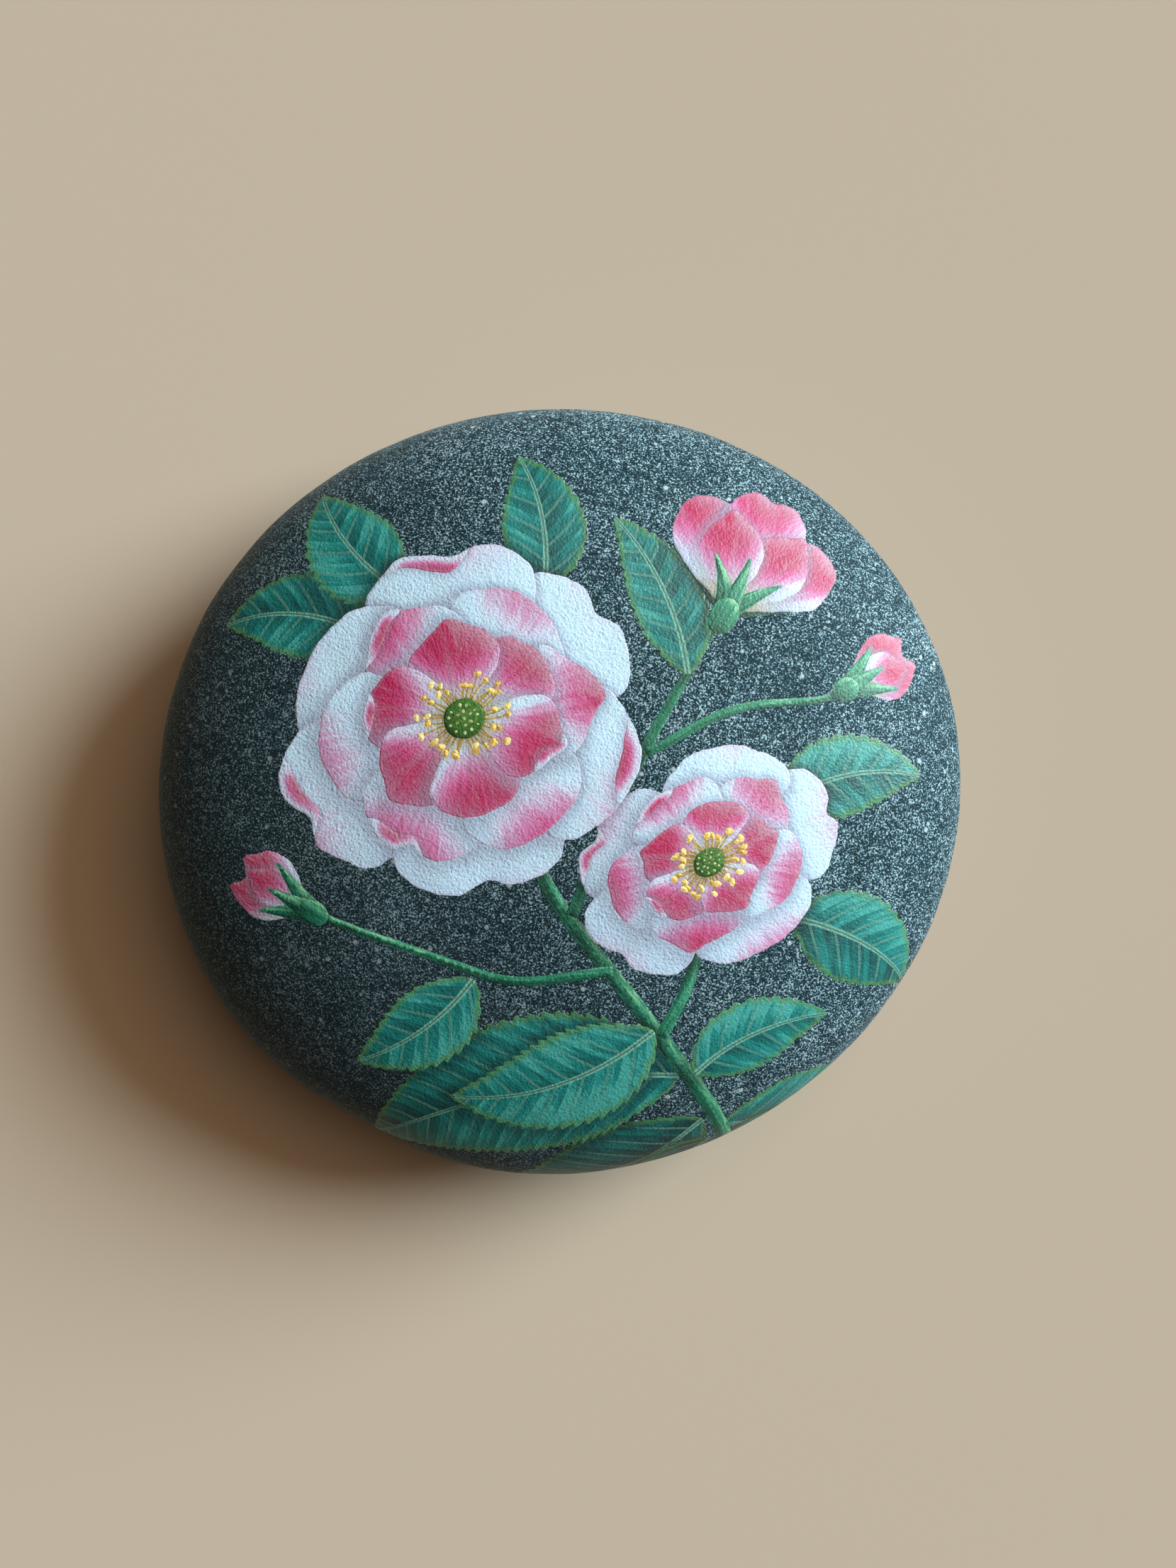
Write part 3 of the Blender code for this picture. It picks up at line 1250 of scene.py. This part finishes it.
class Paint:
    """A paint's material, with everything that it can read of the shape that it fills."""

    def __init__(self, name, groups):
        self.groups = groups
        self.material, self.make, self.shader = new_material(name)
        self.along, self.across, self.seed = self.make.read("strokes")
        # Shares of the way along and across, the second from -1 to 1, and the painted shadow.
        self.out, self.side, self.shade = self.make.read("shares")
        # Roundness is 1 along an edge that faces the shade, and -1 along one that faces the light.
        self.rim, self.bare_rim, self.roundness = self.make.read("edges")
        self.tint, self.turn, _ = self.make.read("tones")

    def streaks(self, along, across, width, length):
        """Coarse and fine brush streaks."""
        values = {"Along": along, "Across": across, "Width": width, "Length": length}
        brush = self.make.use(self.groups["streak"], Seed=self.seed, **values)
        return brush["Streak"], brush["Fine"]

    def shadowed(self, colour, part, dark):
        """The colour, darkened where another shape lies over this one."""
        return self.make.mix(self.make.times(self.shade, part), colour, dark)

    def finish(self, colour, ragged, roughness):
        """Ends the paint's nodes: the film over the stone, its skin and its dull shine."""
        make = self.make
        rock = make.use(self.groups["stone"])
        edges = {"Rim": self.rim, "Bare_rim": self.bare_rim, "Ragged": ragged}
        film = make.use(self.groups["film"], **edges)
        colour = make.mix(make.times(film["Pit"], 0.22), colour, (0.05, 0.065, 0.08))
        colour = make.mix(film["Cover"], rock["Colour"], colour)
        height = make.add_part(film["Height"], rock["Height"], 0.25)
        make.feed(self.shader["Base Color"], colour)
        make.feed(self.shader["Normal"], make.bump(0.85, 0.00013, height))
        make.feed(self.shader["Roughness"], roughness)
        make.feed(self.shader["Specular IOR Level"], 0.45)
        return self.material


def petal_blush(paint, streak, fine):
    """How far the crimson runs in from the tip, leaning to one side of it, from 0 to 1."""
    make = paint.make
    off_lean = make.minus(paint.side, make.centred(paint.seed, 0.9))
    far = make.add_part(paint.out, make.times(off_lean, off_lean), -0.26)
    far = make.plus(far, make.centred(streak, 0.09), make.centred(fine, 0.06))
    blush = make.ramp(make.minus(far, make.minus(1.16, paint.tint)), -0.14, 0.46)
    return make.times(blush, make.ramp(paint.tint, 0.1, 0.6, 0.40, 1.0))


def petal_paint(groups):
    """White petals with a crimson blush that runs in by fine streaks from the tip."""
    paint = Paint("petal_paint", groups)
    make = paint.make
    streak, fine = paint.streaks(paint.along, paint.across, 0.50, 8.0)
    out, side, rolled = paint.out, paint.side, paint.turn
    flat = make.minus(1.0, rolled)

    # A rolled edge is deepest along its fold and paler along its own rim.
    fold = make.plus(make.ramp(out, 0.05, 0.9, 0.06, 1.0), make.centred(fine, 0.12))
    fold = make.times(fold, make.ramp(make.size(side), 1.0, 0.35))
    blush = make.times(petal_blush(paint, streak, fine), flat)
    colour = make.colours(
        make.add_part(blush, fold, rolled),
        (0.0, (0.520, 0.745, 0.930)),
        (0.14, (0.590, 0.610, 0.810)),
        (0.40, (0.58, 0.27, 0.49)),
        (0.68, (0.56, 0.078, 0.255)),
        (1.0, (0.44, 0.011, 0.090)),
    )
    # White drawn back over the blush in hair-thin lines, and faint lilac veins in the white.
    hair = make.ramp(fine, 0.62, 0.90)
    colour = make.mix(make.times(hair, 0.10), colour, (0.52, 0.66, 0.79))
    vein = make.times(make.ramp(fine, 0.30, 0.08), make.ramp(out, 0.95, 0.35))
    colour = make.mix(make.times(vein, 0.16), colour, (0.37, 0.38, 0.52))
    # The foot of the petal turns to a soft yellow green, and a crease runs up from it.
    foot = make.ramp(make.add_part(out, streak, -0.10), 0.34, 0.08)
    colour = make.mix(make.times(foot, flat, 0.70), colour, (0.42, 0.42, 0.17))
    crease = make.ramp(make.size(make.minus(side, make.centred(paint.seed, -0.5))), 0.16, 0.0)
    crease = make.times(crease, make.ramp(out, 0.92, 0.35), flat, 0.30)
    colour = make.mix(crease, colour, (0.36, 0.35, 0.44))
    # Soft roundness, and a thin lilac line along the edge.
    hollow_side = make.calc("MAXIMUM", paint.roundness, 0.0)
    colour = make.mix(make.times(hollow_side, 0.50), colour, (0.27, 0.31, 0.46))
    lit_side = make.calc("MAXIMUM", make.times(paint.roundness, -1.0), 0.0)
    colour = make.mix(make.times(lit_side, 0.40), colour, (0.57, 0.76, 0.91))
    edge = make.ramp(paint.rim, 0.55, 0.08)
    colour = make.mix(make.times(edge, 0.30), colour, (0.48, 0.30, 0.43))
    # Shadow painted where another petal lies over this one, warmer near the foot.
    hollow = make.mix(make.ramp(out, 0.25, 0.6), (0.29, 0.25, 0.16), (0.22, 0.22, 0.33))
    return paint.finish(paint.shadowed(colour, 0.72, hollow), 0.16, 0.50)


def leaf_veins(paint, off, phase):
    """Distance from the nearest side vein, then the veins' pale lines and their dark cores."""
    make = paint.make
    from_vein = make.times(make.size(make.minus(phase, 0.5)), 0.8 * SIDE_VEIN_SPACING)
    fading = make.ramp(make.size(paint.side), 1.0, 0.6)
    side_line = make.times(make.ramp(from_vein, 0.26, 0.10), fading)
    side_core = make.times(make.ramp(from_vein, 0.10, 0.03), fading)
    rib_half = make.add_part(0.34, paint.out, -0.24)
    rib_line = make.ramp(make.minus(off, rib_half), 0.20, 0.02)
    rib_core = make.ramp(off, 0.17, 0.06)
    line = make.calc("MAXIMUM", make.times(side_line, 0.42), make.times(rib_line, 0.75))
    core = make.calc("MAXIMUM", make.times(side_core, 0.45), make.times(rib_core, 0.7))
    return from_vein, line, core


def leaf_paint(groups):
    """Blue-green leaves: pale vein lines, blades that swell between them, yellower edges."""
    paint = Paint("leaf_paint", groups)
    make = paint.make
    off = make.size(paint.across)
    left = make.calc("GREATER_THAN", paint.across, 0.0)
    # Side veins leave the midrib forwards, those of one half between those of the other.
    slant = make.add_part(paint.along, off, -0.72)
    slant = make.add_part(slant, make.times(off, off), -0.022)
    count = make.add_part(make.calc("DIVIDE", slant, SIDE_VEIN_SPACING), left, 0.5)
    phase = make.calc("FRACT", make.plus(count, paint.seed))
    from_vein, line, core = leaf_veins(paint, off, phase)

    streak, fine = paint.streaks(slant, make.times(off, 0.35), 1.1, 1.0)
    light = make.plus(paint.tint, make.centred(phase, 0.26))
    light = make.add_part(light, left, 0.17)
    light = make.add_part(light, make.ramp(off, 0.0, 5.0), 0.24)
    light = make.plus(light, make.centred(streak, 0.22), make.centred(fine, 0.12))
    light = make.add_part(light, paint.roundness, -0.16)
    light = make.add_part(light, make.ramp(from_vein, 0.9, 0.1), -0.10)
    colour = make.colours(
        light,
        (0.05, (0.002, 0.018, 0.022)),
        (0.35, (0.003, 0.058, 0.060)),
        (0.62, (0.005, 0.135, 0.128)),
        (0.85, (0.010, 0.215, 0.202)),
        (1.0, (0.05, 0.33, 0.30)),
    )
    margin = make.ramp(make.add_part(paint.rim, streak, -0.5), 0.80, 0.05)
    colour = make.mix(make.times(margin, 0.60), colour, (0.085, 0.215, 0.040))
    colour = make.mix(line, colour, (0.20, 0.46, 0.36))
    colour = make.mix(core, colour, (0.006, 0.060, 0.052))
    return paint.finish(paint.shadowed(colour, 0.88, (0.003, 0.016, 0.019)), 0.16, 0.46)


def stem_paint(groups):
    """Green stems and sepals, lit along one side."""
    paint = Paint("stem_paint", groups)
    make = paint.make
    streak, _ = paint.streaks(paint.along, paint.across, 0.30, 5.0)
    light = make.plus(paint.tint, make.centred(streak, 0.34))
    colour = make.colours(
        make.add_part(light, paint.roundness, -0.62),
        (0.05, (0.004, 0.036, 0.026)),
        (0.45, (0.010, 0.150, 0.088)),
        (0.75, (0.045, 0.300, 0.180)),
        (1.0, (0.22, 0.52, 0.30)),
    )
    return paint.finish(paint.shadowed(colour, 0.85, (0.004, 0.022, 0.016)), 0.10, 0.48)


def gold_paint(groups):
    """Golden threads and pollen, browner on their shaded side."""
    paint = Paint("gold_paint", groups)
    make = paint.make
    spots = make.noise(make.place(), 2400.0, 1.0)
    light = make.plus(paint.tint, make.centred(spots, 0.8))
    colour = make.colours(
        make.add_part(light, paint.roundness, -0.45),
        (0.0, (0.42, 0.30, 0.07)),
        (0.35, (0.50, 0.29, 0.045)),
        (0.65, (0.80, 0.52, 0.10)),
        (1.0, (0.93, 0.78, 0.34)),
    )
    return paint.finish(paint.shadowed(colour, 0.75, (0.11, 0.06, 0.015)), 0.03, 0.5)


def seed_paint(groups):
    """The green seed head, darker round its edge, and its pale dots."""
    paint = Paint("seed_head_paint", groups)
    make = paint.make
    mottle = make.noise(make.place(), 1500.0)
    light = make.plus(make.centred(mottle, 0.7), 0.56)
    light = make.add_part(light, make.times(paint.out, paint.out), -0.34)
    green = make.colours(
        make.add_part(light, paint.roundness, -0.40),
        (0.0, (0.010, 0.050, 0.008)),
        (0.5, (0.050, 0.165, 0.022)),
        (1.0, (0.22, 0.40, 0.09)),
    )
    colour = make.mix(paint.turn, green, (0.58, 0.68, 0.34))
    return paint.finish(paint.shadowed(colour, 0.7, (0.012, 0.030, 0.008)), 0.02, 0.48)


def make_materials():
    """The stone's and the paints' materials, by the names that the shapes know them by."""
    groups = {"stone": stone_group(), "film": film_group(), "streak": streak_group()}
    finishes = (bare_stone, petal_paint, leaf_paint, stem_paint, gold_paint, seed_paint)
    return {name: finish(groups) for name, finish in zip(PAINTS, finishes)}


# Floor, light and camera

FLOOR_RADIUS = 12.0
FLOOR_COLOUR = (0.50, 0.425, 0.335)
BACKDROP_COLOUR = (0.52, 0.485, 0.42)

WORLD_FILL = (1.0, 0.86, 0.70)
WORLD_STRENGTH = 0.02

CAMERA_AT = (0.0040, 0.0011, 0.252)  # straight above, a little to the right of the stone's middle
CAMERA_LENS = 36.0  # in millimetres
CAMERA_SENSOR = 36.0  # along the photograph's long side


def make_floor():
    """A plain, pale, matt floor."""
    mesh = bpy.data.meshes.new("floor")
    rim = [(x, y, 0.0) for x, y in circle(FLOOR_RADIUS, 96)]
    mesh.from_pydata(rim, [], [range(len(rim))])
    floor = bpy.data.objects.new("floor", mesh)
    bpy.context.scene.collection.objects.link(floor)
    material, make, shader = new_material("floor_matt")
    make.feed(shader["Base Color"], FLOOR_COLOUR)
    make.feed(shader["Roughness"], 0.85)
    make.feed(shader["Specular IOR Level"], 0.2)
    mesh.materials.append(material)
    return floor


def far_light(name, place, strength, softness, colour):
    """Even light from far away in the direction of that place. The softness is in degrees."""
    light = bpy.data.lights.new(name, "SUN")
    light.energy = strength
    light.angle = math.radians(softness)
    light.color = colour
    made = bpy.data.objects.new(name, light)
    made.location = place
    made.rotation_euler = Vector(place).to_track_quat("Z", "Y").to_euler()
    bpy.context.scene.collection.objects.link(made)


def make_light():
    """Cool, low window light from the right, a weak warm fill from above, and a pale backdrop."""
    far_light(
        "window",
        place=(0.835, 0.395, 0.440),
        strength=6.4,
        softness=34.0,
        colour=(0.80, 0.95, 1.0),
    )
    far_light(
        "ceiling",
        place=(0.45, 0.36, 0.82),
        strength=1.25,
        softness=60.0,
        colour=(1.0, 0.67, 0.43),
    )
    world = bpy.data.worlds.new("room")
    world.use_nodes = True
    make = Maker(world.node_tree)
    fill = world.node_tree.nodes["Background"]
    make.feed(fill.inputs["Color"], WORLD_FILL)
    make.feed(fill.inputs["Strength"], WORLD_STRENGTH)
    backdrop = make.node("ShaderNodeBackground", {"Color": BACKDROP_COLOUR})
    seen = make.node("ShaderNodeLightPath", {}).outputs["Is Camera Ray"]
    both = make.node("ShaderNodeMixShader", {0: seen, 1: fill.outputs[0], 2: backdrop.outputs[0]})
    make.feed(world.node_tree.nodes["World Output"].inputs["Surface"], both.outputs[0])
    bpy.context.scene.world = world


def make_camera():
    """A camera that looks straight down on the stone, with +Y up in the picture."""
    camera = bpy.data.cameras.new("camera")
    camera.sensor_fit = "AUTO"
    camera.sensor_width = CAMERA_SENSOR
    camera.lens = CAMERA_LENS
    camera.clip_start = 0.01
    camera.clip_end = 20.0
    made = bpy.data.objects.new("camera", camera)
    made.location = CAMERA_AT
    bpy.context.scene.collection.objects.link(made)
    bpy.context.scene.camera = made


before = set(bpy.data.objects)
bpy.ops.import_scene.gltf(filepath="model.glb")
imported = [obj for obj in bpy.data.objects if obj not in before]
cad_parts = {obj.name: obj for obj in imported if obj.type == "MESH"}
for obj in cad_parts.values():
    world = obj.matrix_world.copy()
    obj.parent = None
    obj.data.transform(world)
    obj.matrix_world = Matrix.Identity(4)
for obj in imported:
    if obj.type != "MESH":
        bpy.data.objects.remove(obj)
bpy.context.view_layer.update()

pebble = make_pebble(spray(), make_materials(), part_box("stone"))
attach(pebble, "root")
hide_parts("stone")

make_floor()
make_light()
make_camera()
bpy.context.scene.view_settings.view_transform = "Standard"
